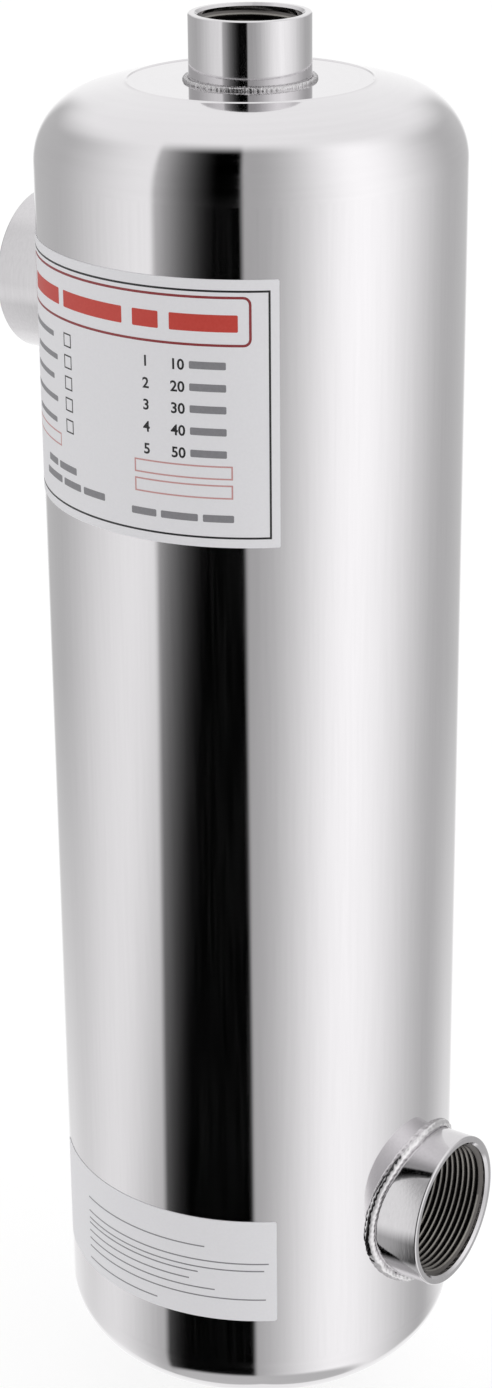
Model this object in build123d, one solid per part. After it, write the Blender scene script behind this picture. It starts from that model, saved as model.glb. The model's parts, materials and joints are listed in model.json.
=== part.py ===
from build123d import *
import math
import os

# Driving dimensions, in millimetres and degrees
# The lower side port points along +X, the upper one along -X.
# Z runs up the centre line from the rim of the bottom port.

# Shell and heads
shell_outer_radius = 70.0
shell_wall = 1.5
straight_length = 414.6
knuckle_radius = 22.6
crown_radius = 194.0
flat_spot_radius = 39.5
flat_spot_step = 0.3

# Threaded ports, bored to the major radius of a 1 in and a 1 1/2 in pipe thread
end_port_bore_radius = 16.7
side_port_bore_radius = 24.13
port_wall = 3.1
end_port_length = 21.1
lower_side_port_stand_out = 12.6
upper_side_port_stand_out = 14.6
side_port_set_in = 5.0
side_port_from_tangent = 47.0
mouth_chamfer = 0.5
rim_chamfer = 0.8
end_opening_lip = 1.7

# Weld beads
end_weld_leg = 2.0
end_weld_crown = 1.4
side_weld_leg = 2.8
side_weld_crown = 1.8

# Labels, each set off along the shell from the bead of the side port at its own end
label_thickness = 0.2
upper_label_width = 120.0
upper_label_height = 86.0
upper_label_corner = 0.6
upper_label_top_below_tangent = 22.5
upper_label_from_bead = 8.0
lower_label_width = 104.0
lower_label_height = 40.6
lower_label_corner = 1.0
lower_label_bottom_above_tangent = 18.1
lower_label_from_bead = 32.4

# Tube bundle
tube_outer_radius = 9.525
tube_wall = 1.0
tube_pitch = 38.0
ring_tube_count = 6
ring_first_angle = 30.0
tube_stand_out = 2.0
tube_sheet_thickness = 6.0
tube_sheet_from_tangent = 8.0
baffle_thickness = 2.0
baffle_spacing = 138.0
baffle_edge_gap = 0.8
baffle_hole_gap = 0.2

# Sizes that follow from the ones above
shell_inner_radius = shell_outer_radius - shell_wall
end_port_outer_radius = end_port_bore_radius + port_wall
side_port_outer_radius = side_port_bore_radius + port_wall
end_opening_radius = end_port_bore_radius - end_opening_lip
side_port_start = math.sqrt(shell_inner_radius ** 2 - side_port_outer_radius ** 2) - side_port_set_in
side_bead_radius = side_port_outer_radius + side_weld_leg
side_bead_half_angle = math.degrees(math.asin(side_bead_radius / shell_outer_radius))
knuckle_centre_radius = shell_outer_radius - knuckle_radius
crown_centre_drop = math.sqrt((crown_radius - knuckle_radius) ** 2 - knuckle_centre_radius ** 2)
knuckle_turn = math.degrees(math.atan2(crown_centre_drop, knuckle_centre_radius))
head_rise = math.sqrt(crown_radius ** 2 - flat_spot_radius ** 2) - crown_centre_drop
flat_spot_rise = head_rise - flat_spot_step
bottom_tangent = end_port_length + flat_spot_rise
top_tangent = bottom_tangent + straight_length
mid_height = (bottom_tangent + top_tangent) / 2

# Frames of the side ports, with Z out along the port from the centre line of the body
lower_side_axis = Pos(0, 0, bottom_tangent + side_port_from_tangent) * Rot(0, 90, 0)
upper_side_axis = Pos(0, 0, top_tangent - side_port_from_tangent) * Rot(0, -90, 0)


def write(name, piece):
    """Write one piece to its own STEP file."""
    piece.label = name
    export_step(piece, f"parts/{name}.step")


def mirrored(piece):
    """The same piece at the bottom end of the body."""
    return mirror(piece, Plane.XY.offset(mid_height))


def head_section(inset):
    """Half section of a head above its tangent line, filled to the axis and set in from the outside."""
    crown = crown_radius - inset
    crown_turn = math.degrees(math.acos(flat_spot_radius / crown)) - knuckle_turn
    flat = flat_spot_rise - inset
    start = (shell_outer_radius - inset, 0)
    with BuildSketch(Plane.XZ) as section:
        with BuildLine():
            knuckle = JernArc(start, (0, 1), knuckle_radius - inset, knuckle_turn)
            dish = JernArc(knuckle @ 1, knuckle % 1, crown, crown_turn)
            Polyline(dish @ 1, (flat_spot_radius, flat), (0, flat), (0, 0), start)
        make_face()
    return section.sketch


def head():
    """Pressed end: a knuckle, a shallow crown and a pressed flat round the port opening."""
    body = revolve(head_section(0)) - revolve(head_section(shell_wall))
    opening = Cylinder(end_opening_radius, 2 * head_rise)
    return Pos(0, 0, top_tangent) * (body - opening)


def bar(radius, length):
    """Round bar that starts at its own origin and runs along +Z."""
    return Cylinder(radius, length, align=(Align.CENTER, Align.CENTER, Align.MIN))


def shell_tube():
    """Straight rolled tube with an opening that each side port fits through."""
    wall = bar(shell_outer_radius, straight_length) - bar(shell_inner_radius, straight_length)
    wall = Pos(0, 0, bottom_tangent) * wall
    for axis in (lower_side_axis, upper_side_axis):
        wall -= axis * bar(side_port_outer_radius, 2 * shell_outer_radius)
    return wall


def port_section(bore_radius, length):
    """Half section of a threaded port, with its rim at the top."""
    outer_radius = bore_radius + port_wall
    with BuildSketch(Plane.XZ) as section:
        with BuildLine():
            Polyline(
                (bore_radius, 0),
                (outer_radius, 0),
                (outer_radius, length - rim_chamfer),
                (outer_radius - rim_chamfer, length),
                (bore_radius + mouth_chamfer, length),
                (bore_radius, length - mouth_chamfer),
                close=True,
            )
        make_face()
    return section.sketch


def on_top_flat(piece):
    """A piece set on the flat spot of the top head."""
    return Pos(0, 0, top_tangent + flat_spot_rise) * piece


def end_port():
    """Short threaded coupling that stands on the flat of a head."""
    return on_top_flat(revolve(port_section(end_port_bore_radius, end_port_length)))


def side_port(stand_out):
    """Threaded coupling along +Z, set through the shell wall and standing out of it by the given length."""
    length = shell_outer_radius + stand_out - side_port_start
    return Pos(0, 0, side_port_start) * revolve(port_section(side_port_bore_radius, length))


def end_weld():
    """Fillet bead round the foot of an end port."""
    foot = end_port_outer_radius
    toe = foot + end_weld_leg
    with BuildSketch(Plane.XZ) as section:
        with BuildLine():
            Polyline(
                (toe, 0),
                (foot, 0),
                (foot, end_weld_leg),
                (foot + end_weld_crown, end_weld_crown),
                close=True,
            )
        make_face()
    return on_top_flat(revolve(section.sketch))


def shell_round(radius):
    """A round bar on the shell's centre line, lying across a side port."""
    return Rot(0, 90, 0) * Cylinder(radius, 4 * side_port_outer_radius)


def side_weld():
    """Bead that follows the saddle where a side port comes out of the shell."""
    reach = 2 * shell_outer_radius
    ring = bar(side_bead_radius, reach) - bar(side_port_outer_radius, reach)
    bead = (ring & shell_round(shell_outer_radius + side_weld_leg)) - shell_round(shell_outer_radius)
    outer_edges = bead.edges().filter_by(GeomType.BSPLINE).sort_by(Edge.length)[-2:]
    return chamfer(outer_edges.sort_by(Axis.Z)[-1], side_weld_crown)


def turn_along_shell(length):
    """Angle about the centre line that a length along the shell covers."""
    return math.degrees(length / shell_outer_radius)


def label(width, height, corner, low_edge, left_angle):
    """Thin sticker wrapped round the shell, with its corners rounded."""
    turn = turn_along_shell(width)
    with BuildSketch() as section:
        with BuildLine():
            back = CenterArc((0, 0), shell_outer_radius, left_angle, turn)
            front = CenterArc((0, 0), shell_outer_radius + label_thickness, left_angle, turn)
            Line(back @ 0, front @ 0)
            Line(back @ 1, front @ 1)
        make_face()
    band = extrude(section.sketch, height)
    corners = band.edges().group_by(Edge.length)[0]
    return Pos(0, 0, low_edge) * fillet(corners, corner)


def upper_label():
    """Large label, to the right of the upper side port."""
    low_edge = top_tangent - upper_label_top_below_tangent - upper_label_height
    left_angle = -180 + side_bead_half_angle + turn_along_shell(upper_label_from_bead)
    return label(upper_label_width, upper_label_height, upper_label_corner, low_edge, left_angle)


def lower_label():
    """Small label, to the left of the lower side port."""
    low_edge = bottom_tangent + lower_label_bottom_above_tangent
    left_angle = -side_bead_half_angle - turn_along_shell(lower_label_from_bead + lower_label_width)
    return label(lower_label_width, lower_label_height, lower_label_corner, low_edge, left_angle)


def ring_places():
    """Centres of the tubes in the ring round the centre tube."""
    return list(PolarLocations(tube_pitch, ring_tube_count, ring_first_angle))


def tube(place):
    """Straight tube that runs through both tube sheets."""
    length = straight_length - 2 * (tube_sheet_from_tangent - tube_stand_out)
    wall = Cylinder(tube_outer_radius, length) - Cylinder(tube_outer_radius - tube_wall, length)
    return Pos(0, 0, mid_height) * place * wall


def tube_holes(radius, depth):
    """Drills for the whole bundle."""
    return [place * Cylinder(radius, depth) for place in [Pos(0, 0)] + ring_places()]


def tube_sheet():
    """Drilled plate that closes the shell side and holds the ends of the tubes."""
    plate = Cylinder(shell_inner_radius, tube_sheet_thickness)
    plate -= tube_holes(tube_outer_radius, tube_sheet_thickness)
    height = top_tangent - tube_sheet_from_tangent - tube_sheet_thickness / 2
    return Pos(0, 0, height) * plate


def baffle(height, window_side):
    """Plate across the bundle, cut away between two columns of tubes so the flow weaves past them."""
    radius = shell_inner_radius - baffle_edge_gap
    window_edge = tube_pitch * math.cos(math.radians(ring_first_angle)) / 2
    window = Pos(window_side * (window_edge + radius), 0, 0) * Box(2 * radius, 2 * radius, baffle_thickness)
    plate = Cylinder(radius, baffle_thickness) - window
    plate -= tube_holes(tube_outer_radius + baffle_hole_gap, baffle_thickness)
    return Pos(0, 0, height) * plate


def build():
    """Write every piece of the exchanger."""
    os.makedirs("parts", exist_ok=True)

    write("shell_tube", shell_tube())
    write("top_head", head())
    write("bottom_head", mirrored(head()))

    write("top_port", end_port())
    write("bottom_port", mirrored(end_port()))
    write("top_port_weld", end_weld())
    write("bottom_port_weld", mirrored(end_weld()))

    write("lower_side_port", lower_side_axis * side_port(lower_side_port_stand_out))
    write("upper_side_port", upper_side_axis * side_port(upper_side_port_stand_out))
    write("lower_side_port_weld", lower_side_axis * side_weld())
    write("upper_side_port_weld", upper_side_axis * side_weld())

    write("upper_label", upper_label())
    write("lower_label", lower_label())

    write("top_tube_sheet", tube_sheet())
    write("bottom_tube_sheet", mirrored(tube_sheet()))
    write("centre_tube", tube(Pos(0, 0)))
    for number, place in enumerate(ring_places(), 1):
        write(f"ring_tube_{number}", tube(place))
    write("upper_baffle", baffle(mid_height + baffle_spacing / 2, 1))
    write("lower_baffle", baffle(mid_height - baffle_spacing / 2, -1))


build()
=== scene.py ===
import json
import math

import bmesh
import bpy
from mathutils import Matrix, Vector, noise


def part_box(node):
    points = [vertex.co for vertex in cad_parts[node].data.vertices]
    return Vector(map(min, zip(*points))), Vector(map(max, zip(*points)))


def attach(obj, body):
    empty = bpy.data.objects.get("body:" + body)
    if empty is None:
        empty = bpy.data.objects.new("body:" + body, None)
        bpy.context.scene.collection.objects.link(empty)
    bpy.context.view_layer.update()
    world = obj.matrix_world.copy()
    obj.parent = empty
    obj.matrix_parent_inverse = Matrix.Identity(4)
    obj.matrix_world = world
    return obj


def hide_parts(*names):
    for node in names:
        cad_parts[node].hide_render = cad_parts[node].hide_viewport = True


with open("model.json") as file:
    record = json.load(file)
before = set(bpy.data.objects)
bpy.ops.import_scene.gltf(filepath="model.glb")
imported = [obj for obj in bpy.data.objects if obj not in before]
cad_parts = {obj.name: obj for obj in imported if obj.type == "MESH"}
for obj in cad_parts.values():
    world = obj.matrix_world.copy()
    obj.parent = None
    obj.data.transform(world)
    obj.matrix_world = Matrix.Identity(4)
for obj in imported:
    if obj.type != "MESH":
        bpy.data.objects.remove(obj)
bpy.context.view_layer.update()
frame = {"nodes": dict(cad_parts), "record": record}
mm = 0.001


# Shell
# A length of thin 304 stainless tube, rolled, seam-welded and buffed on a belt until it mirrors the room.
# Each side port passes through an opening of its own in it.
shell_low, shell_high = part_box("shell_tube")
shell_radius = shell_high.x
shell_wall = 1.5 * mm
bottom_tangent = shell_low.z
top_tangent = shell_high.z
mid_height = (bottom_tangent + top_tangent) / 2
head_skirt = 0.5 * mm
shell_rows = 60
steps_round = 256

side_opening_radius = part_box("lower_side_port")[1].y
mounts = {mount["name"]: mount for mount in frame["record"]["mounts"]}


def side_axis(height, side):
    """Frame whose Z runs out along a side port, towards +X or -X, from the centre line of the body."""
    return Matrix.Translation((0, 0, height)) @ Matrix.Rotation(side * math.pi / 2, 4, "Y")


lower_side_axis = side_axis(mounts["lower_side_port"]["pos_m"][2], 1)
upper_side_axis = side_axis(mounts["upper_side_port"]["pos_m"][2], -1)


def colour(hex_code):
    """Linear colour of an sRGB hex value."""
    parts = [int(hex_code[i : i + 2], 16) / 255 for i in (1, 3, 5)]
    return (*(p / 12.92 if p <= 0.04045 else ((p + 0.055) / 1.055) ** 2.4 for p in parts), 1)


def add(tree, kind, values=None, links=None, **settings):
    """Adds a node with its settings, the values of its sockets and the sockets that feed it."""
    node = tree.nodes.new(kind)
    for name, value in settings.items():
        setattr(node, name, value)
    for socket, value in (values or {}).items():
        node.inputs[socket].default_value = value
    for socket, source in (links or {}).items():
        tree.links.new(source, node.inputs[socket])
    return node


def new_material(name):
    """An empty material and its node tree."""
    material = bpy.data.materials.new(name)
    material.use_nodes = True
    material.node_tree.nodes.clear()
    return material, material.node_tree


def new_piece(name, form, *materials, crease=30):
    """Makes an object of a bmesh, smooth except at edges sharper than the crease angle."""
    mesh = bpy.data.meshes.new(name)
    form.to_mesh(mesh)
    form.free()
    mesh.shade_smooth()
    mesh.set_sharp_from_angle(angle=math.radians(crease))
    for material in materials:
        mesh.materials.append(material)
    piece = bpy.data.objects.new(name, mesh)
    bpy.context.scene.collection.objects.link(piece)
    return piece


def spin_round(form):
    """Turns the closed outline in a bmesh into a ring about Z."""
    bmesh.ops.spin(
        form, geom=form.verts[:] + form.edges[:], cent=(0, 0, 0), axis=(0, 0, 1), angle=2 * math.pi,
        steps=steps_round, use_merge=True,
    )
    bmesh.ops.remove_doubles(form, verts=form.verts[:], dist=0.001 * mm)
    bmesh.ops.recalc_face_normals(form, faces=form.faces[:])


# Mirror-polished stainless sheet: hardly any roughness, so the room shows sharply in it. The rolled sheet is
# slightly wavy along lines that run up the shell, and that makes faint upright streaks in what it mirrors.
polished_sheet, tree = new_material("mirror_polished_stainless_sheet")
sheet_wave = 9 * mm
sheet_wave_depth = 0.02 * mm
belt_mark = 1.2 * mm
place = add(tree, "ShaderNodeTexCoord").outputs["Object"]
upright = add(tree, "ShaderNodeMapping", {"Scale": (1, 1, 0.03)}, {"Vector": place}).outputs[0]
waves = add(tree, "ShaderNodeTexNoise", {"Scale": 1 / sheet_wave, "Detail": 2}, {"Vector": upright})
marks = add(tree, "ShaderNodeTexNoise", {"Scale": 1 / belt_mark, "Detail": 3}, {"Vector": upright})
gloss = add(
    tree, "ShaderNodeMapRange",
    {"From Min": 0.35, "From Max": 0.65, "To Min": 0.04, "To Max": 0.075}, {"Value": marks.outputs["Fac"]},
)
tone = add(
    tree, "ShaderNodeMix", {6: colour("#DCDADC"), 7: colour("#E2E0E2")}, {"Factor": marks.outputs["Fac"]},
    data_type="RGBA",
)
bump = add(
    tree, "ShaderNodeBump", {"Strength": 1.0, "Distance": sheet_wave_depth}, {"Height": waves.outputs["Fac"]}
)
surface = add(
    tree, "ShaderNodeBsdfPrincipled", {"Metallic": 1.0},
    {"Base Color": tone.outputs[2], "Roughness": gloss.outputs[0], "Normal": bump.outputs[0]},
)
add(tree, "ShaderNodeOutputMaterial", links={"Surface": surface.outputs[0]})

form = bmesh.new()
inner_radius = shell_radius - shell_wall
low_end = bottom_tangent + head_skirt
high_end = top_tangent - head_skirt
section = [
    form.verts.new((radius, 0, height))
    for radius, height in (
        (shell_radius, low_end), (shell_radius, high_end), (inner_radius, high_end), (inner_radius, low_end)
    )
]
sides = [form.edges.new(ends) for ends in zip(section, section[1:] + section[:1])]
bmesh.ops.subdivide_edges(form, edges=[sides[0], sides[2]], cuts=shell_rows - 1)
spin_round(form)
shell = new_piece("shell", form, polished_sheet)

# Each opening is cut with a drill that runs from the centre line out through the wall.
for axis in (lower_side_axis, upper_side_axis):
    form = bmesh.new()
    bmesh.ops.create_cone(
        form, cap_ends=True, segments=96, radius1=side_opening_radius, radius2=side_opening_radius,
        depth=shell_radius, matrix=axis @ Matrix.Translation((0, 0, shell_radius)),
    )
    drill = new_piece("drill", form)
    opening = shell.modifiers.new("opening", "BOOLEAN")
    opening.object = drill
    opening.solver = "EXACT"
    drilled = shell.evaluated_get(bpy.context.evaluated_depsgraph_get())
    shell.data = bpy.data.meshes.new_from_object(drilled)
    shell.modifiers.clear()
    bpy.data.objects.remove(drill)
shell.data.shade_smooth()
shell.data.set_sharp_from_angle(angle=math.radians(30))
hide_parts("shell_tube")
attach(shell, "root")


# Heads
# Two ends pressed from the same sheet: a tight knuckle, a shallow crown and a flat spot, pressed in a
# little, where the end port stands. Each is butt-welded to the shell and the seam is polished away.
knuckle_radius = 22.6 * mm
crown_radius = 194 * mm
flat_spot_radius = 39.5 * mm
flat_spot_step = 0.3 * mm
end_bore_radius = mounts["top_port"]["dims"]["r_mm"] * mm
opening_lip = 1.7 * mm
end_opening_radius = end_bore_radius - opening_lip
knuckle_centre = shell_radius - knuckle_radius
crown_drop = math.sqrt((crown_radius - knuckle_radius) ** 2 - knuckle_centre**2)
knuckle_turn = math.atan2(crown_drop, knuckle_centre)
crown_edge = math.sqrt(crown_radius**2 - flat_spot_radius**2) - crown_drop
flat_rise = crown_edge - flat_spot_step
lip_out = 0.6 * mm
lip_crest_out = 0.2 * mm
lip_in = 0.3 * mm
lip_height = 0.1 * mm
lip_round = 0.12 * mm
knuckle_steps = 48
crown_steps = 12

# Mirror-polished like the shell, but on a turning fixture, so its faint marks run in rings round the port.
polished_head, tree = new_material("mirror_polished_pressed_stainless")
ring_mark = 2.2 * mm
ring_mark_depth = 0.002 * mm
press_wave = 14 * mm
press_wave_depth = 0.02 * mm
place = add(tree, "ShaderNodeTexCoord").outputs["Object"]
across = add(tree, "ShaderNodeVectorMath", {1: (1, 1, 0)}, {0: place}, operation="MULTIPLY").outputs[0]
radius = add(tree, "ShaderNodeVectorMath", links={0: across}, operation="LENGTH").outputs["Value"]
outwards = add(tree, "ShaderNodeCombineXYZ", links={"X": radius}).outputs[0]
drift = add(tree, "ShaderNodeMapping", {"Scale": (0.05, 0.05, 1)}, {"Vector": place}).outputs[0]
ringed = add(tree, "ShaderNodeVectorMath", links={0: outwards, 1: drift}, operation="ADD").outputs[0]
marks = add(tree, "ShaderNodeTexNoise", {"Scale": 1 / ring_mark, "Detail": 3}, {"Vector": ringed})
gloss = add(
    tree, "ShaderNodeMapRange",
    {"From Min": 0.35, "From Max": 0.65, "To Min": 0.04, "To Max": 0.08}, {"Value": marks.outputs["Fac"]},
)
tone = add(
    tree, "ShaderNodeMix", {6: colour("#DCDADC"), 7: colour("#E2E0E2")}, {"Factor": marks.outputs["Fac"]},
    data_type="RGBA",
)
low_waves = add(tree, "ShaderNodeTexNoise", {"Scale": 1 / press_wave, "Detail": 1}, {"Vector": place})
waved = add(
    tree, "ShaderNodeBump", {"Strength": 1.0, "Distance": press_wave_depth},
    {"Height": low_waves.outputs["Fac"]},
)
bump = add(
    tree, "ShaderNodeBump", {"Strength": 1.0, "Distance": ring_mark_depth},
    {"Height": marks.outputs["Fac"], "Normal": waved.outputs[0]},
)
surface = add(
    tree, "ShaderNodeBsdfPrincipled", {"Metallic": 1.0},
    {"Base Color": tone.outputs[2], "Roughness": gloss.outputs[0], "Normal": bump.outputs[0]},
)
add(tree, "ShaderNodeOutputMaterial", links={"Surface": surface.outputs[0]})


def run_on(form, vert, *points):
    """Carries an outline on from a vertex through straight runs in the XZ plane."""
    for x, z in points:
        after = form.verts.new((x, 0, z))
        form.edges.new((vert, after))
        vert = after
    return vert


def run_round(form, vert, centre, angle, steps):
    """Carries an outline on from a vertex along an arc about a centre in the XZ plane."""
    arc = bmesh.ops.spin(
        form, geom=[vert], cent=(centre[0], 0, centre[1]), axis=(0, -1, 0), angle=angle, steps=steps
    )
    return arc["geom_last"][0]


def head_face(form, inset):
    """One face of the head's wall, from its skirt to the opening, with heights from the tangent line."""
    first = form.verts.new((shell_radius - inset, 0, -head_skirt))
    vert = run_on(form, first, (shell_radius - inset, 0))
    vert = run_round(form, vert, (knuckle_centre, 0), knuckle_turn, knuckle_steps)
    crown_turn = math.acos((flat_spot_radius + lip_out) / (crown_radius - inset)) - knuckle_turn
    vert = run_round(form, vert, (0, -crown_drop), crown_turn, crown_steps)
    flat = flat_rise - inset
    last = run_on(
        form, vert, (flat_spot_radius + lip_crest_out, crown_edge + lip_height - inset),
        (flat_spot_radius - lip_in, flat), (end_opening_radius, flat),
    )
    return first, last


upright_head = Matrix.Translation((0, 0, top_tangent))
upside_down = Matrix.Translation((0, 0, 2 * mid_height)) @ Matrix.Scale(-1, 4, (0, 0, 1))


def turn_over(form):
    """Makes a piece of the top end the matching piece of the bottom end."""
    bmesh.ops.transform(form, matrix=upside_down, verts=form.verts[:])
    bmesh.ops.recalc_face_normals(form, faces=form.faces[:])


for end in ("top", "bottom"):
    form = bmesh.new()
    outer_ends = head_face(form, 0)
    inner_ends = head_face(form, shell_wall)
    for ends in zip(outer_ends, inner_ends):
        form.edges.new(ends)
    spin_round(form)
    lip = [
        edge for edge in form.edges
        if all(abs(v.co.xy.length - flat_spot_radius - lip_crest_out) < 0.01 * mm for v in edge.verts)
        and min(v.co.z for v in edge.verts) > crown_edge
    ]
    bmesh.ops.bevel(
        form, geom=lip, offset=lip_round, offset_type="OFFSET", segments=3, profile=0.5, affect="EDGES",
        material=-1,
    )
    bmesh.ops.transform(form, matrix=upright_head, verts=form.verts[:])
    if end == "bottom":
        turn_over(form)
    head = new_piece(f"{end}_pressed_head", form, polished_head)
    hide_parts(f"{end}_head")
    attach(head, "root")


# Ports
# Threaded couplings turned from stainless bar and buffed outside. The end ports stand on the flat spots,
# the side ports are set through the shell. All four have a rounded rim and a countersunk mouth.
rim_round = 0.7 * mm
rim_steps = 8
countersink = 0.9 * mm
side_bore_radius = mounts["lower_side_port"]["dims"]["r_mm"] * mm
side_outer_radius = side_opening_radius
side_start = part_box("lower_side_port")[0].x
end_outer_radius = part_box("top_port")[1].x
end_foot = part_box("top_port")[0].z
end_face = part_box("top_port")[1].z
side_ports = (
    ("lower", lower_side_axis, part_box("lower_side_port")[1].x),
    ("upper", upper_side_axis, -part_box("upper_side_port")[0].x),
)

# Turned and buffed bar: mirror-like, with fine lines from the buff that run along the port.
buffed_bar, tree = new_material("turned_and_buffed_stainless_bar")
buff_line = 0.8 * mm
buff_line_depth = 0.005 * mm
place = add(tree, "ShaderNodeTexCoord").outputs["Object"]
upright = add(tree, "ShaderNodeMapping", {"Scale": (1, 1, 0.03)}, {"Vector": place}).outputs[0]
lines = add(tree, "ShaderNodeTexNoise", {"Scale": 1 / buff_line, "Detail": 2}, {"Vector": upright})
gloss = add(
    tree, "ShaderNodeMapRange",
    {"From Min": 0.35, "From Max": 0.65, "To Min": 0.05, "To Max": 0.09}, {"Value": lines.outputs["Fac"]},
)
tone = add(
    tree, "ShaderNodeMix", {6: colour("#CCCACC"), 7: colour("#D9D7D9")}, {"Factor": lines.outputs["Fac"]},
    data_type="RGBA",
)
bump = add(
    tree, "ShaderNodeBump", {"Strength": 1.0, "Distance": buff_line_depth}, {"Height": lines.outputs["Fac"]}
)
surface = add(
    tree, "ShaderNodeBsdfPrincipled", {"Metallic": 1.0},
    {"Base Color": tone.outputs[2], "Roughness": gloss.outputs[0], "Normal": bump.outputs[0]},
)
add(tree, "ShaderNodeOutputMaterial", links={"Surface": surface.outputs[0]})


def round_corner(form, vert, radius, segments):
    """Rounds one corner of a flat outline, or chamfers it when asked for one segment."""
    bmesh.ops.bevel(
        form, geom=[vert], offset=radius, offset_type="OFFSET", segments=segments, profile=0.5,
        affect="VERTICES", material=-1,
    )


def coupling(bore, outer, foot, face):
    """A coupling about Z, from its foot to its rounded rim and countersunk mouth."""
    form = bmesh.new()
    corners = ((bore, foot), (outer, foot), (outer, face), (bore, face))
    outline = [form.verts.new((x, 0, z)) for x, z in corners]
    form.faces.new(outline)
    round_corner(form, outline[2], rim_round, rim_steps)
    mouth = min(form.verts, key=lambda v: (v.co - Vector((bore, 0, face))).length)
    round_corner(form, mouth, countersink, 1)
    bmesh.ops.delete(form, geom=form.faces[:], context="FACES_ONLY")
    spin_round(form)
    return form


for end in ("top", "bottom"):
    form = coupling(end_bore_radius, end_outer_radius, end_foot, end_face)
    if end == "bottom":
        turn_over(form)
    port = new_piece(f"{end}_coupling", form, buffed_bar)
    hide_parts(f"{end}_port")
    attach(port, "root")

for side, axis, face in side_ports:
    form = coupling(side_bore_radius, side_outer_radius, side_start, face)
    bmesh.ops.transform(form, matrix=axis, verts=form.verts[:])
    port = new_piece(f"{side}_side_coupling", form, buffed_bar)
    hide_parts(f"{side}_side_port")
    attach(port, "root")


# Threads
# Female pipe threads, 11.5 to the inch, tapped into each bore. The ridge is one helix that stands in from
# the wall of the bore, with a chamfer on the side of its crest that faces the mouth. It rises along a cone
# below the countersink and fades out at both ends.
thread_pitch = 25.4 / 11.5 * mm
thread_depth = 1.77 * mm
crest_width = 0.25 * mm
crest_drop = 0.25 * mm
crest_chamfer = 0.45 * mm
thread_sink = 0.05 * mm
thread_start = 0.4 * mm
steps_a_turn = 96
fade_turns = 0.25

# Tapped stainless: the flanks are cut, not polished. Their dark colour is painted shade, for the shade deep
# inside the bore.
# The crests below the mouth get a lighter copy of it, a painted highlight, so they show as lighter lines.
painted_shade_flank, tree = new_material("tapped_stainless_painted_shade")
tool_mark = 0.9 * mm
place = add(tree, "ShaderNodeTexCoord").outputs["Object"]
chatter = add(tree, "ShaderNodeTexNoise", {"Scale": 1 / tool_mark, "Detail": 2}, {"Vector": place})
gloss = add(
    tree, "ShaderNodeMapRange",
    {"From Min": 0.3, "From Max": 0.7, "To Min": 0.28, "To Max": 0.4}, {"Value": chatter.outputs["Fac"]},
)
tone = add(
    tree, "ShaderNodeMix", {6: colour("#565351"), 7: colour("#686563")}, {"Factor": chatter.outputs["Fac"]},
    data_type="RGBA",
)
surface = add(
    tree, "ShaderNodeBsdfPrincipled", {"Metallic": 1.0},
    {"Base Color": tone.outputs[2], "Roughness": gloss.outputs[0]},
)
add(tree, "ShaderNodeOutputMaterial", links={"Surface": surface.outputs[0]})

# Painted highlight: a lighter copy of the tapped stainless, put on the thread crests.
painted_highlight_crest, tree = new_material("tapped_stainless_painted_highlight")
place = add(tree, "ShaderNodeTexCoord").outputs["Object"]
chatter = add(tree, "ShaderNodeTexNoise", {"Scale": 1 / tool_mark, "Detail": 2}, {"Vector": place})
gloss = add(
    tree, "ShaderNodeMapRange",
    {"From Min": 0.3, "From Max": 0.7, "To Min": 0.2, "To Max": 0.3}, {"Value": chatter.outputs["Fac"]},
)
tone = add(
    tree, "ShaderNodeMix", {6: colour("#76736F"), 7: colour("#8D8A86")}, {"Factor": chatter.outputs["Fac"]},
    data_type="RGBA",
)
surface = add(
    tree, "ShaderNodeBsdfPrincipled", {"Metallic": 1.0},
    {"Base Color": tone.outputs[2], "Roughness": gloss.outputs[0]},
)
add(tree, "ShaderNodeOutputMaterial", links={"Surface": surface.outputs[0]})


def thread(bore, start, face):
    """A helical ridge about Z inside a bore, from its foot to the countersunk mouth."""
    mouth = face - countersink
    turns = (mouth - start - thread_pitch) / thread_pitch
    steps = round(turns * steps_a_turn)
    half = thread_pitch / 2
    crest = bore - thread_depth + crest_drop
    form = bmesh.new()
    corners = (
        (bore + thread_sink, 0),
        (crest, half - crest_width),
        (crest, half),
        (crest + crest_chamfer, half + crest_chamfer),
        (bore + thread_sink, thread_pitch),
    )
    form.faces.new([form.verts.new((x, 0, start + z)) for x, z in corners])
    bmesh.ops.spin(
        form, geom=form.faces[:], cent=(0, 0, 0), axis=(0, 0, 1), dvec=(0, 0, turns * thread_pitch / steps),
        angle=2 * math.pi * turns, steps=steps,
    )
    bmesh.ops.recalc_face_normals(form, faces=form.faces[:])
    # Faces on the crests below the mouth take the painted highlight, and all other faces take the painted
    # shade.
    for face_of_ridge in form.faces:
        middle = face_of_ridge.calc_center_median()
        takes_painted_highlight = middle.xy.length < crest + crest_chamfer
        face_of_ridge.material_index = 1 if takes_painted_highlight and middle.z < mouth - thread_depth else 0
    for v in form.verts:
        radius = v.co.xy.length
        if radius < bore:
            angle = math.atan2(v.co.y, v.co.x) / (2 * math.pi)
            turn = angle + round((v.co.z - start - half) / thread_pitch - angle)
            fade = min(1, max(0, turn / fade_turns), max(0, (turns - turn) / fade_turns))
            depth = min((bore - radius) * fade, max(0, mouth - v.co.z))
            v.co.xy *= (bore - depth) / radius
    return form


for end in ("top", "bottom"):
    form = thread(end_bore_radius, end_foot + thread_start, end_face)
    if end == "bottom":
        turn_over(form)
    ridge = new_piece(f"{end}_port_thread", form, painted_shade_flank, painted_highlight_crest)
    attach(ridge, "root")

for side, axis, face in side_ports:
    form = thread(side_bore_radius, side_start + thread_start, face)
    bmesh.ops.transform(form, matrix=axis, verts=form.verts[:])
    ridge = new_piece(f"{side}_side_port_thread", form, painted_shade_flank, painted_highlight_crest)
    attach(ridge, "root")


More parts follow.
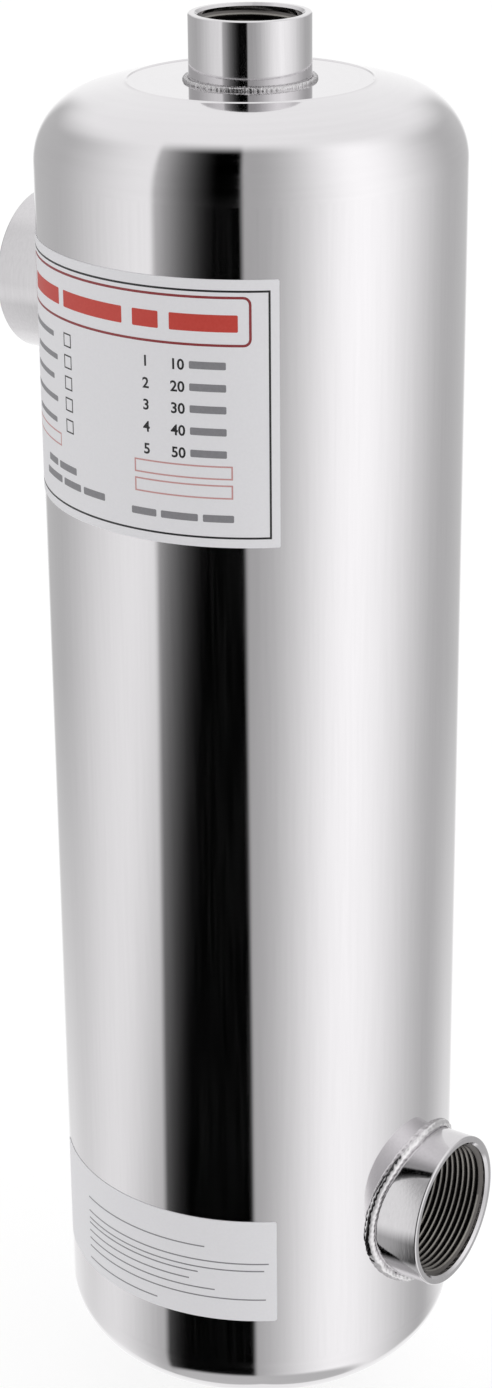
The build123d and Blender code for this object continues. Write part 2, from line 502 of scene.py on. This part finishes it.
# Weld beads
# Hand-laid beads round the foot of each port, in stainless filler. The end ports have a fine bead, brushed
# until it looks sandy. The side ports have a thicker one that follows the saddle, buffed smooth and bright,
# with low ripples and a few lumps.
bead_steps = 720
bead_arc_steps = 10
ripple_lean = 0.9
ripple_mean = 0.6
patchiness = 0.8
patches_round = 2

# Brushed weld metal: bright but broken up by grain, so each grain catches its own glint.
sandy_bead, tree = new_material("brushed_stainless_weld_metal")
grain = 0.55 * mm
grain_depth = 0.05 * mm
place = add(tree, "ShaderNodeTexCoord").outputs["Object"]
sand = add(tree, "ShaderNodeTexNoise", {"Scale": 1 / grain, "Detail": 3}, {"Vector": place})
gloss = add(
    tree, "ShaderNodeMapRange",
    {"From Min": 0.3, "From Max": 0.7, "To Min": 0.15, "To Max": 0.32}, {"Value": sand.outputs["Fac"]},
)
tone = add(
    tree, "ShaderNodeMix", {6: colour("#A8A6A7"), 7: colour("#E0DEE0")}, {"Factor": sand.outputs["Fac"]},
    data_type="RGBA",
)
bump = add(
    tree, "ShaderNodeBump", {"Strength": 1.0, "Distance": grain_depth}, {"Height": sand.outputs["Fac"]}
)
surface = add(
    tree, "ShaderNodeBsdfPrincipled", {"Metallic": 1.0},
    {"Base Color": tone.outputs[2], "Roughness": gloss.outputs[0], "Normal": bump.outputs[0]},
)
add(tree, "ShaderNodeOutputMaterial", links={"Surface": surface.outputs[0]})

# Buffed weld metal: nearly as bright as the port, with the last unevenness of the pool left in it.
smooth_bead, tree = new_material("buffed_stainless_weld_metal")
pool_mark = 1.5 * mm
pool_depth = 0.015 * mm
place = add(tree, "ShaderNodeTexCoord").outputs["Object"]
pool = add(tree, "ShaderNodeTexNoise", {"Scale": 1 / pool_mark, "Detail": 2}, {"Vector": place})
gloss = add(
    tree, "ShaderNodeMapRange",
    {"From Min": 0.3, "From Max": 0.7, "To Min": 0.07, "To Max": 0.16}, {"Value": pool.outputs["Fac"]},
)
tone = add(
    tree, "ShaderNodeMix", {6: colour("#CFCDCE"), 7: colour("#E2E0E2")}, {"Factor": pool.outputs["Fac"]},
    data_type="RGBA",
)
bump = add(
    tree, "ShaderNodeBump", {"Strength": 1.0, "Distance": pool_depth}, {"Height": pool.outputs["Fac"]}
)
surface = add(
    tree, "ShaderNodeBsdfPrincipled", {"Metallic": 1.0},
    {"Base Color": tone.outputs[2], "Roughness": gloss.outputs[0], "Normal": bump.outputs[0]},
)
add(tree, "ShaderNodeOutputMaterial", links={"Surface": surface.outputs[0]})


def bead(port_radius, across, centre, ripple, ripple_depth, lump, lump_depth, place_in_noise):
    """A rounded bead about Z on a flat at height zero, laid in curved ripples with lumps in them."""
    centre_out, centre_up = centre
    reach = math.hypot(across - centre_out, centre_up)
    first = math.atan2(-centre_up, across - centre_out)
    last = math.acos(-centre_out / reach)
    form = bmesh.new()
    corner = form.verts.new((port_radius, 0, 0))
    toe = form.verts.new((port_radius + across, 0, 0))
    crest = run_round(form, toe, (port_radius + centre_out, centre_up), last - first, bead_arc_steps)
    form.edges.new((crest, corner))
    form.edges.new((corner, toe))
    bmesh.ops.spin(
        form, geom=form.verts[:] + form.edges[:], cent=(0, 0, 0), axis=(0, 0, 1), angle=2 * math.pi,
        steps=bead_steps, use_merge=True,
    )
    bmesh.ops.remove_doubles(form, verts=form.verts[:], dist=0.001 * mm)
    bmesh.ops.recalc_face_normals(form, faces=form.faces[:])
    for v in form.verts:
        out_by = v.co.xy.length - port_radius - centre_out
        up_by = v.co.z - centre_up
        if math.hypot(out_by, up_by) < 0.9 * reach:
            continue
        out = Vector((v.co.x, v.co.y, 0)).normalized()
        turn = math.atan2(v.co.y, v.co.x)
        run = turn * port_radius + ripple_lean * abs(out_by - up_by)
        on_patches = Vector((patches_round * math.cos(turn), patches_round * math.sin(turn), place_in_noise))
        patchy = 1 + patchiness * noise.noise(on_patches)
        wave = ripple_depth * (abs(math.sin(math.pi * run / ripple)) - ripple_mean)
        rough = lump_depth * noise.noise(v.co / lump + Vector((place_in_noise, 0, 0)))
        v.co += (out * out_by + Vector((0, 0, up_by))).normalized() * (wave + rough) * patchy
    return form


def up_from_axis(across, radius):
    """Distance along a side port at which a round of this radius about the centre line is met."""
    return math.sqrt(radius**2 - across**2)


for number, end in enumerate(("top", "bottom")):
    form = bead(
        end_outer_radius, 1.75 * mm, (0.8 * mm, 0.2 * mm), 0.8 * mm, 0.12 * mm, 0.6 * mm, 0.18 * mm,
        10 * number,
    )
    bmesh.ops.translate(form, verts=form.verts[:], vec=(0, 0, end_foot))
    if end == "bottom":
        turn_over(form)
    weld = new_piece(f"{end}_port_bead", form, sandy_bead, crease=60)
    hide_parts(f"{end}_port_weld")
    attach(weld, "root")

for number, (side, axis, face) in enumerate(side_ports):
    form = bead(
        side_outer_radius, 2.6 * mm, (1.1 * mm, 0.5 * mm), 2.1 * mm, 0.1 * mm, 3.0 * mm, 0.26 * mm,
        20 + 10 * number,
    )
    for v in form.verts:
        v.co.z = up_from_axis(v.co.y, shell_radius + v.co.z)
    bmesh.ops.transform(form, matrix=axis, verts=form.verts[:])
    weld = new_piece(f"{side}_side_port_bead", form, smooth_bead, crease=60)
    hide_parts(f"{side}_side_port_weld")
    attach(weld, "root")


# Labels
# Two stickers of white vinyl film, wrapped on the shell. The upper one is screen printed with a ruled
# border, a red heading frame and a plain numbered chart, the lower one with plain ruled lines.
film_thickness = 0.17 * mm
ink_thickness = 0.04 * mm
ink_top = 0.195 * mm
bend_step = 1.0 * mm
upper_label_size = (120 * mm, 86 * mm)
lower_label_size = (104 * mm, 40.6 * mm)

# Vinyl film: white with a soft satin sheen and a very slight mottle.
vinyl, tree = new_material("white_satin_vinyl_film")
film_grain = 0.9 * mm
place = add(tree, "ShaderNodeTexCoord").outputs["Object"]
mottle = add(tree, "ShaderNodeTexNoise", {"Scale": 1 / film_grain, "Detail": 2}, {"Vector": place})
tone = add(
    tree, "ShaderNodeMix", {6: colour("#E6E5E8"), 7: colour("#ECEBEE")}, {"Factor": mottle.outputs["Fac"]},
    data_type="RGBA",
)
surface = add(
    tree, "ShaderNodeBsdfPrincipled", {"Roughness": 0.42, "IOR": 1.46}, {"Base Color": tone.outputs[2]}
)
add(tree, "ShaderNodeOutputMaterial", links={"Surface": surface.outputs[0]})


def ink(name, thin, full):
    """Screen-printed ink: nearly even, with the slight mottle of a thin film."""
    material, tree = new_material(name)
    place = add(tree, "ShaderNodeTexCoord").outputs["Object"]
    mottle = add(tree, "ShaderNodeTexNoise", {"Scale": 1 / film_grain, "Detail": 3}, {"Vector": place})
    tone = add(
        tree, "ShaderNodeMix", {6: colour(thin), 7: colour(full)}, {"Factor": mottle.outputs["Fac"]},
        data_type="RGBA",
    )
    surface = add(
        tree, "ShaderNodeBsdfPrincipled", {"Roughness": 0.45, "IOR": 1.5}, {"Base Color": tone.outputs[2]}
    )
    add(tree, "ShaderNodeOutputMaterial", links={"Surface": surface.outputs[0]})
    return material


black_ink = ink("black_screen_ink", "#242326", "#151416")
grey_ink = ink("grey_screen_ink", "#8F8E92", "#7C7B7F")
dark_red_ink = ink("dark_red_screen_ink", "#97363A", "#87292D")
red_ink = ink("red_screen_ink", "#CC4438", "#C23428")
pink_ink = ink("pale_red_screen_ink", "#CE9C9A", "#C48E8C")


def patch(form, left, low, right, high, corner=0.0):
    """A flat rectangle in the plane of the label, in metres, with rounded corners if asked."""
    corners = ((left, low), (right, low), (right, high), (left, high))
    verts = [form.verts.new((x, y, 0)) for x, y in corners]
    face = form.faces.new(verts)
    if corner:
        bmesh.ops.bevel(
            form, geom=verts, offset=corner, offset_type="OFFSET", segments=5, profile=0.5,
            affect="VERTICES", material=-1,
        )
    form.normal_update()


def bars(form, low, height, *ends):
    """A row of plain bars of one height, each from one place along the label to another, in millimetres."""
    for left, right in ends:
        patch(form, left * mm, low * mm, right * mm, (low + height) * mm, min(0.4, height / 3) * mm)


def outline_box(form, left, low, right, high, line, corner=0.0):
    """The outline of a box, in millimetres, drawn with a line of even width."""
    box = bmesh.new()
    patch(box, left * mm, low * mm, right * mm, high * mm, corner * mm)
    frame_line = bmesh.ops.inset_region(
        box, faces=box.faces[:], thickness=line * mm, use_even_offset=True, use_boundary=True
    )
    inside = [face for face in box.faces if face not in frame_line["faces"]]
    bmesh.ops.delete(box, geom=inside, context="FACES")
    drawn = bpy.data.meshes.new("drawn")
    box.to_mesh(drawn)
    form.from_mesh(drawn)
    box.free()


number_weight = 0.1 * mm
cap_height_share = 0.73


def number(form, text, right, low, height):
    """A plain number, set to end at a place along the label, in millimetres."""
    words = bpy.data.curves.new("number", "FONT")
    words.body = text
    words.align_x = "RIGHT"
    words.size = height * mm / cap_height_share
    words.resolution_u = 3
    words.offset = number_weight
    holder = bpy.data.objects.new("number", words)
    flat = bpy.data.meshes.new_from_object(holder)
    flat.transform(Matrix.Translation((right * mm, low * mm, 0)))
    form.from_mesh(flat)
    bpy.data.objects.remove(holder)


def wrap(name, form, node, thickness, top, material):
    """Gives a flat drawing its thickness, bends it round the shell in a label's place and makes it a piece."""
    raised = bmesh.ops.extrude_face_region(form, geom=form.faces[:], use_keep_orig=True)
    raised_verts = [item for item in raised["geom"] if isinstance(item, bmesh.types.BMVert)]
    bmesh.ops.translate(form, verts=raised_verts, vec=(0, 0, thickness))
    bmesh.ops.recalc_face_normals(form, faces=form.faces[:])
    left = math.ceil(min(v.co.x for v in form.verts) / bend_step)
    right = math.floor(max(v.co.x for v in form.verts) / bend_step)
    for step in range(left, right + 1):
        bmesh.ops.bisect_plane(
            form, geom=form.verts[:] + form.edges[:] + form.faces[:], dist=0.001 * mm,
            plane_co=(step * bend_step, 0, 0), plane_no=(1, 0, 0),
        )
    label_low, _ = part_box(node)
    left_angle = -math.acos(label_low.x / -label_low.y)
    for v in form.verts:
        angle = left_angle + v.co.x / shell_radius
        radius = shell_radius + top - thickness + v.co.z
        v.co = (radius * math.cos(angle), radius * math.sin(angle), label_low.z + v.co.y)
    print_piece = new_piece(name, form, material)
    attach(print_piece, "root")
    return print_piece


for node, (width, height), corner in (
    ("upper_label", upper_label_size, 0.6 * mm), ("lower_label", lower_label_size, 1.0 * mm)
):
    form = bmesh.new()
    patch(form, 0, 0, width, height, corner)
    film = wrap(f"{node}_film", form, node, film_thickness, film_thickness, vinyl)
    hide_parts(node)

# The upper label's print, laid out in millimetres from its left low corner.
row_lows = (57.2, 50.1, 43.1, 36.0, 28.8)
row_height = 3.5

form = bmesh.new()
outline_box(form, 2.7, 2.9, 117.3, 82.7, 0.65)
for row, low in enumerate(row_lows, 1):
    number(form, f"{row}0", 90.4, low, row_height)
    number(form, f"{row}", 78.4, low, row_height)
    outline_box(form, 40.4, low - 0.5, 44.8, low + 4.0, 0.45)
wrap("upper_label_black_print", form, "upper_label", ink_thickness, ink_top, black_ink)

form = bmesh.new()
row_names = ((10, 33.0), (14, 35.6), (12, 32.4), (9, 34.8), (13, 33.6))
for low, (name_left, name_right) in zip(row_lows, row_names):
    bars(form, low + 0.8, 1.8, (name_left, name_right))
    bars(form, low + 0.5, 2.4, (91.9, 103.5))
bars(form, 14.8, 2.4, (24.8, 33.0), (34.6, 45.8))
bars(form, 9.8, 2.4, (22.6, 36.0), (37.6, 48.0), (49.6, 59.9))
bars(form, 8.3, 2.4, (71.0, 80.0), (81.6, 94.0), (95.6, 105.5))
wrap("upper_label_grey_print", form, "upper_label", ink_thickness, ink_top, grey_ink)

form = bmesh.new()
outline_box(form, 8.5, 65.0, 111.5, 80.8, 0.8, 2.5)
wrap("upper_label_heading_frame", form, "upper_label", ink_thickness, ink_top, dark_red_ink)

form = bmesh.new()
bars(form, 69.6, 5.4, (13.5, 38.0), (41.0, 68.8), (72.8, 81.9), (85.6, 107.3))
wrap("upper_label_heading", form, "upper_label", ink_thickness, ink_top, red_ink)

form = bmesh.new()
outline_box(form, 72.5, 22.3, 105.3, 26.8, 0.5)
outline_box(form, 72.5, 16.0, 105.3, 20.6, 0.5)
outline_box(form, 10.0, 22.4, 36.5, 26.8, 0.5)
wrap("upper_label_boxes", form, "upper_label", ink_thickness, ink_top, pink_ink)

# The lower label's print: a stack of thin ruled lines.
form = bmesh.new()
for low, right in (
    (28.9, 78.6), (23.2, 101.2), (20.3, 99.6), (18.2, 76.0), (15.0, 72.7), (11.8, 82.1), (8.5, 100.1),
    (3.5, 59.9),
):
    bars(form, low, 0.5, (24.0, right))
wrap("lower_label_lines", form, "lower_label", ink_thickness, ink_top, grey_ink)


# Tube bundle
# Seven drawn tubes, the two drilled plates that hold them and the two baffles they pass through. They stay
# as the CAD made them, and show only through the ports.
# Mill finish: drawn and rolled stainless as it came, greyer and duller than the polished outside.
mill_finish, tree = new_material("mill_finish_stainless")
draw_line = 0.6 * mm
draw_line_depth = 0.004 * mm
place = add(tree, "ShaderNodeTexCoord").outputs["Object"]
upright = add(tree, "ShaderNodeMapping", {"Scale": (1, 1, 0.05)}, {"Vector": place}).outputs[0]
lines = add(tree, "ShaderNodeTexNoise", {"Scale": 1 / draw_line, "Detail": 3}, {"Vector": upright})
gloss = add(
    tree, "ShaderNodeMapRange",
    {"From Min": 0.35, "From Max": 0.65, "To Min": 0.22, "To Max": 0.34}, {"Value": lines.outputs["Fac"]},
)
tone = add(
    tree, "ShaderNodeMix", {6: colour("#A8A6A4"), 7: colour("#BBB9B7")}, {"Factor": lines.outputs["Fac"]},
    data_type="RGBA",
)
bump = add(
    tree, "ShaderNodeBump", {"Strength": 1.0, "Distance": draw_line_depth}, {"Height": lines.outputs["Fac"]}
)
surface = add(
    tree, "ShaderNodeBsdfPrincipled", {"Metallic": 1.0},
    {"Base Color": tone.outputs[2], "Roughness": gloss.outputs[0], "Normal": bump.outputs[0]},
)
add(tree, "ShaderNodeOutputMaterial", links={"Surface": surface.outputs[0]})

inner_nodes = ["top_tube_sheet", "bottom_tube_sheet", "upper_baffle", "lower_baffle", "centre_tube"]
inner_nodes += [f"ring_tube_{count}" for count in range(1, 7)]
for name in inner_nodes:
    for place in frame["nodes"][name].material_slots:
        place.material = mill_finish


# Studio
# A white room that the polished metal mirrors as upright bands: a bright window on the right, a softer one on
# the left, grey walls between them and a tall dark card in front. White paper hangs behind, and the ceiling
# light leans back.
camera_azimuth = math.radians(56.6)
brightest_wall = 1.3
wall_grey = 0.56
walls_by_angle = (
    (-63, wall_grey), (-27, 1.03), (0, 0.48), (30, 1.28), (66, wall_grey), (90, 0.64),
)
low_wall_share = 0.92
ceiling_level = 1.03
paper_level = 1.04
table_level = 0.95
ground_level = 0.58

world = bpy.data.worlds.new("studio")
bpy.context.scene.world = world
world.use_nodes = True
tree = world.node_tree
tree.nodes.clear()
towards = add(tree, "ShaderNodeTexCoord").outputs["Generated"]
faced = add(tree, "ShaderNodeMapping", {"Rotation": (0, 0, camera_azimuth)}, {"Vector": towards}).outputs[0]
parts = add(tree, "ShaderNodeSeparateXYZ", links={0: faced}).outputs
azimuth = add(tree, "ShaderNodeMath", links={0: parts["Y"], 1: parts["X"]}, operation="ARCTAN2").outputs[0]
elevation = add(tree, "ShaderNodeMath", links={0: parts["Z"]}, operation="ARCSINE").outputs[0]

# The walls stand round a point behind the object, nearer to it low down. There their light swings round and
# dims a little.
high, low = math.radians(-13), math.radians(-35)
setback = add(
    tree, "ShaderNodeMapRange", {"From Min": low, "From Max": high, "To Min": 0.82, "To Max": 0.97},
    {"Value": elevation},
).outputs[0]
forward = add(tree, "ShaderNodeMath", links={0: parts["X"], 1: setback}, operation="ADD").outputs[0]
angle = add(tree, "ShaderNodeMath", links={0: parts["Y"], 1: forward}, operation="ARCTAN2").outputs[0]
lowness = add(
    tree, "ShaderNodeMapRange", {"From Min": low, "From Max": high, "To Min": 1, "To Max": 0},
    {"Value": elevation},
).outputs[0]
swing = add(
    tree, "ShaderNodeMapRange",
    {
        "From Min": math.radians(-25), "From Max": 0,
        "To Min": math.radians(24), "To Max": math.radians(6),
    },
    {"Value": angle},
).outputs[0]
swung = add(
    tree, "ShaderNodeMath", links={0: swing, 1: lowness, 2: angle}, operation="MULTIPLY_ADD"
).outputs[0]
round_room = add(
    tree, "ShaderNodeMapRange", {"From Min": -math.pi / 2, "From Max": math.pi / 2}, {"Value": swung}
).outputs[0]
walls = add(tree, "ShaderNodeValToRGB", links={"Fac": round_room})
walls.color_ramp.interpolation = "EASE"
ramp = walls.color_ramp.elements
while len(ramp) < len(walls_by_angle):
    ramp.new(0.5)
for stop, (degrees, level) in zip(ramp, walls_by_angle):
    stop.position = degrees / 180 + 0.5
    stop.color = (level / brightest_wall,) * 3 + (1,)
wall_strength = add(
    tree, "ShaderNodeMapRange", {"To Min": brightest_wall, "To Max": low_wall_share * brightest_wall},
    {"Value": lowness},
).outputs[0]
wall_level = add(
    tree, "ShaderNodeMath", links={0: walls.outputs["Color"], 1: wall_strength}, operation="MULTIPLY"
).outputs[0]

# White tables stand low at both sides.
aside = add(tree, "ShaderNodeMath", links={0: angle}, operation="ABSOLUTE").outputs[0]
table_side = add(
    tree, "ShaderNodeMapRange", {"From Min": math.radians(56), "From Max": math.radians(76)},
    {"Value": aside}, interpolation_type="SMOOTHSTEP",
).outputs[0]
table_height = add(
    tree, "ShaderNodeMapRange",
    {"From Min": math.radians(-34), "From Max": math.radians(-22), "To Min": 1, "To Max": 0},
    {"Value": elevation},
).outputs[0]
table = add(tree, "ShaderNodeMath", links={0: table_side, 1: table_height}, operation="MULTIPLY").outputs[0]
with_table = add(tree, "ShaderNodeMix", {"B": table_level}, {"Factor": table, "A": wall_level}).outputs[0]

# The card is dark grey cloth, lit a little along its left side and blacker towards the ground. Both of its
# edges are sharp, and it widens a little towards the ground.
cloth_dark_from = add(
    tree, "ShaderNodeMapRange",
    {"From Min": low, "From Max": high, "To Min": math.radians(-22.2), "To Max": math.radians(-8.3)},
    {"Value": elevation},
).outputs[0]
cloth_lit = add(tree, "ShaderNodeMath", links={0: cloth_dark_from, 1: angle}, operation="SUBTRACT").outputs[0]
cloth_reach = math.radians(22.4)
cloth_falloff = 2.2
cloth_share = add(
    tree, "ShaderNodeMapRange", {"From Min": 0, "From Max": cloth_reach}, {"Value": cloth_lit}
).outputs[0]
cloth_level = add(tree, "ShaderNodeMath", {1: cloth_falloff}, {0: cloth_share}, operation="POWER").outputs[0]
card_spread_left, card_spread_right = math.radians(3), math.radians(-0.8)
left_spread = add(
    tree, "ShaderNodeMath", {1: card_spread_left}, {0: lowness, 2: angle}, operation="MULTIPLY_ADD"
).outputs[0]
card_left = add(
    tree, "ShaderNodeMapRange", {"From Min": math.radians(-27.8), "From Max": math.radians(-25.4)},
    {"Value": left_spread}, interpolation_type="SMOOTHSTEP",
).outputs[0]
right_spread = add(
    tree, "ShaderNodeMath", {1: card_spread_right}, {0: lowness, 2: angle}, operation="MULTIPLY_ADD"
).outputs[0]
card_right = add(
    tree, "ShaderNodeMapRange",
    {"From Min": math.radians(-3.4), "From Max": math.radians(-1.6), "To Min": 1, "To Max": 0},
    {"Value": right_spread}, interpolation_type="SMOOTHSTEP",
).outputs[0]
card = add(tree, "ShaderNodeMath", links={0: card_left, 1: card_right}, operation="MULTIPLY").outputs[0]
with_card = add(tree, "ShaderNodeMix", links={"Factor": card, "A": with_table, "B": cloth_level}).outputs[0]

# Under the object the ground is in half shade.
shade = add(
    tree, "ShaderNodeMapRange",
    {"From Min": math.radians(-68), "From Max": math.radians(-60), "To Min": 1, "To Max": 0},
    {"Value": elevation}, interpolation_type="SMOOTHSTEP",
).outputs[0]
with_ground = add(tree, "ShaderNodeMix", {"B": ground_level}, {"Factor": shade, "A": with_card}).outputs[0]

# White paper hangs behind the object and sweeps out below it. It shows as a bright line at the very edges.
behind = add(tree, "ShaderNodeMath", links={0: azimuth}, operation="ABSOLUTE").outputs[0]
sweep = add(
    tree, "ShaderNodeMapRange",
    {
        "From Min": math.radians(-50), "From Max": math.radians(-30),
        "To Min": math.radians(28), "To Max": 0,
    },
    {"Value": elevation},
).outputs[0]
swept = add(tree, "ShaderNodeMath", links={0: behind, 1: sweep}, operation="ADD").outputs[0]
paper_edge = add(
    tree, "ShaderNodeMapRange", {"From Min": math.radians(159), "From Max": math.radians(172)},
    {"Value": swept}, interpolation_type="SMOOTHSTEP",
).outputs[0]
with_paper = add(tree, "ShaderNodeMix", {"B": paper_level}, {"Factor": paper_edge, "A": with_ground}).outputs[0]

# The ceiling light is a wide soft panel that leans to the back of the room.
ceiling_lean = math.radians(30.5)
ceiling_way = (-math.sin(ceiling_lean), 0, math.cos(ceiling_lean))
towards_ceiling = add(
    tree, "ShaderNodeVectorMath", {1: ceiling_way}, {0: faced}, operation="DOT_PRODUCT"
).outputs["Value"]
ceiling = add(
    tree, "ShaderNodeMapRange", {"From Min": 0.60, "From Max": 0.86}, {"Value": towards_ceiling},
    interpolation_type="SMOOTHSTEP",
).outputs[0]
room = add(tree, "ShaderNodeMix", {"B": ceiling_level}, {"Factor": ceiling, "A": with_paper}).outputs[0]

# The camera itself sees plain white.
light_path = add(tree, "ShaderNodeLightPath").outputs
seen = add(tree, "ShaderNodeMix", {"B": 1.0}, {"Factor": light_path["Is Camera Ray"], "A": room}).outputs[0]
background = add(tree, "ShaderNodeBackground", {"Color": (1, 1, 1, 1)}, {"Strength": seen}).outputs[0]
add(tree, "ShaderNodeOutputWorld", links={"Surface": background})

# White seamless paper, most of its white its own so that the shadow on it stays faint. The polished metal
# looks past it to the room, and the room's light passes it on the way to the metal.
paper, tree = new_material("white_seamless_paper")
fibre = 3 * mm
paper_own_white = 0.8
place = add(tree, "ShaderNodeTexCoord").outputs["Object"]
pulp = add(tree, "ShaderNodeTexNoise", {"Scale": 1 / fibre, "Detail": 2}, {"Vector": place})
tone = add(
    tree, "ShaderNodeMix", {6: colour("#8B8B8B"), 7: colour("#8E8E8E")}, {"Factor": pulp.outputs["Fac"]},
    data_type="RGBA",
)
light_path = add(tree, "ShaderNodeLightPath").outputs
matt = add(tree, "ShaderNodeBsdfDiffuse", links={"Color": tone.outputs[2]}).outputs[0]
glow = add(tree, "ShaderNodeEmission", {"Strength": paper_own_white}).outputs[0]
lit_paper = add(tree, "ShaderNodeAddShader", links={0: matt, 1: glow}).outputs[0]
clear = add(tree, "ShaderNodeBsdfTransparent").outputs[0]
looked_past = add(
    tree, "ShaderNodeMath", links={0: light_path["Is Glossy Ray"], 1: light_path["Is Shadow Ray"]},
    operation="MAXIMUM",
).outputs[0]
surface = add(tree, "ShaderNodeMixShader", links={0: looked_past, 1: lit_paper, 2: clear}).outputs[0]
add(tree, "ShaderNodeOutputMaterial", links={"Surface": surface})

form = bmesh.new()
floor_half_width = 12
bmesh.ops.create_grid(form, x_segments=1, y_segments=1, size=floor_half_width)
floor = new_piece("floor", form, paper)

# The camera stands at the photograph's angle, a little above the object, looking down at it.
camera_lens = bpy.data.cameras.new("camera")
camera_lens.sensor_fit = "VERTICAL"
camera_lens.sensor_height = 36
camera_lens.lens = 75.81
camera = bpy.data.objects.new("camera", camera_lens)
camera.matrix_world = (
    Matrix.Translation((0.51415, -0.77975, 0.66122))
    @ Matrix.Rotation(math.radians(33.604), 4, "Z")
    @ Matrix.Rotation(math.radians(67.46), 4, "X")
    @ Matrix.Rotation(math.radians(-0.565), 4, "Z")
)
bpy.context.scene.collection.objects.link(camera)
bpy.context.scene.camera = camera
bpy.context.scene.view_settings.view_transform = "Standard"
